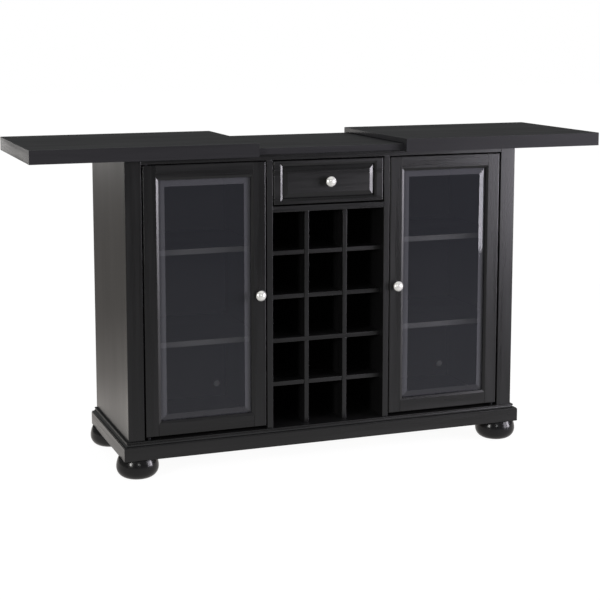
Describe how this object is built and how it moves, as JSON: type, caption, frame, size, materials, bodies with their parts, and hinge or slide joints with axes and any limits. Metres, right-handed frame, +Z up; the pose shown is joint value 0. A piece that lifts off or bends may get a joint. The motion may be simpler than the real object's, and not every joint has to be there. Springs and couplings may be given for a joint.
{
  "type": "bar cabinet",
  "caption": "Black bar cabinet with sliding top halves, glazed doors, a drawer above a wine rack, and bun feet.",
  "frame": {"origin": "on the floor, under the middle of the open cabinet's box", "axes": "+Z up, +X to the right along the opened top, the doors face -Y"},
  "size_m": [1.6808, 0.465, 0.914],
  "materials": {
    "black_wood": "black stain under a satin lacquer, faint straight grain",
    "foot_wood": "black gloss lacquer",
    "plain_wood": "unfinished softwood, out of sight under the body",
    "back_board": "black faced hardboard",
    "tinted_glass": "clear bevelled pane, dark against the inside",
    "brushed_nickel": "satin nickel plate",
    "zinc_steel": "bright zinc plate",
    "black_plastic": "moulded, matt"
  },
  "bodies": {
    "cabinet": {"back_panel": "back_board", "base_moulding_front": "black_wood", "base_moulding_sides": "black_wood", "bottom_panel": "black_wood", "carcass_top": "black_wood", "drawer_shelf": "black_wood", "face_rails": "black_wood", "face_stile_left": "black_wood", "face_stile_right": "black_wood", "fixed_top_board": "black_wood", "foot_bolts": "zinc_steel", "foot_front_left": "foot_wood", "foot_front_right": "foot_wood", "foot_rear_left": "foot_wood", "foot_rear_right": "foot_wood", "left_shelves": "black_wood", "magnetic_catches": "black_plastic", "partition_left": "black_wood", "partition_right": "black_wood", "pivot_brackets": "zinc_steel", "plinth_back": "plain_wood", "plinth_blocks": "plain_wood", "plinth_front": "black_wood", "plinth_left": "black_wood", "plinth_right": "black_wood", "rack_middle_shelf": "black_wood", "rack_shelves": "black_wood", "rack_uprights": "black_wood", "right_shelves": "black_wood", "runner_channels": "zinc_steel", "shelf_pins": "zinc_steel", "side_panel_left": "black_wood", "side_panel_right": "black_wood", "slide_stops": "black_plastic"},
    "left_door": {"left_door_beads": "black_wood", "left_door_glass": "tinted_glass", "left_door_knob": "brushed_nickel", "left_door_pivots": "zinc_steel", "left_door_rails": "black_wood", "left_door_stiles": "black_wood"},
    "right_door": {"right_door_beads": "black_wood", "right_door_glass": "tinted_glass", "right_door_knob": "brushed_nickel", "right_door_pivots": "zinc_steel", "right_door_rails": "black_wood", "right_door_stiles": "black_wood"},
    "drawer": {"drawer_front_frame": "black_wood", "drawer_front_panel": "black_wood", "drawer_box": "black_wood", "drawer_bottom": "back_board", "drawer_knob": "brushed_nickel", "drawer_runners": "zinc_steel"},
    "left_top": {"left_top_aprons": "black_wood", "left_top_glides": "black_plastic", "left_top_panel": "black_wood", "left_top_retainers": "zinc_steel"},
    "right_top": {"right_top_aprons": "black_wood", "right_top_glides": "black_plastic", "right_top_panel": "black_wood", "right_top_retainers": "zinc_steel"}
  },
  "joints": [
    {"name": "left_top_slide", "type": "slide", "parent": "cabinet", "child": "left_top", "axis": [1, 0, 0], "range_m": [0, 0.218]},
    {"name": "right_top_slide", "type": "slide", "parent": "cabinet", "child": "right_top", "axis": [-1, 0, 0], "range_m": [0, 0.218]},
    {"name": "left_door_hinge", "type": "hinge", "parent": "cabinet", "child": "left_door", "pos_m": [-0.5235, -0.1839, 0.48725], "axis": [0, 0, -1], "range_deg": [0, 100]},
    {"name": "right_door_hinge", "type": "hinge", "parent": "cabinet", "child": "right_door", "pos_m": [0.5235, -0.1839, 0.48725], "axis": [0, 0, 1], "range_deg": [0, 100]},
    {"name": "drawer_slide", "type": "slide", "parent": "cabinet", "child": "drawer", "axis": [0, -1, 0], "range_m": [0, 0.24]}
  ]
}
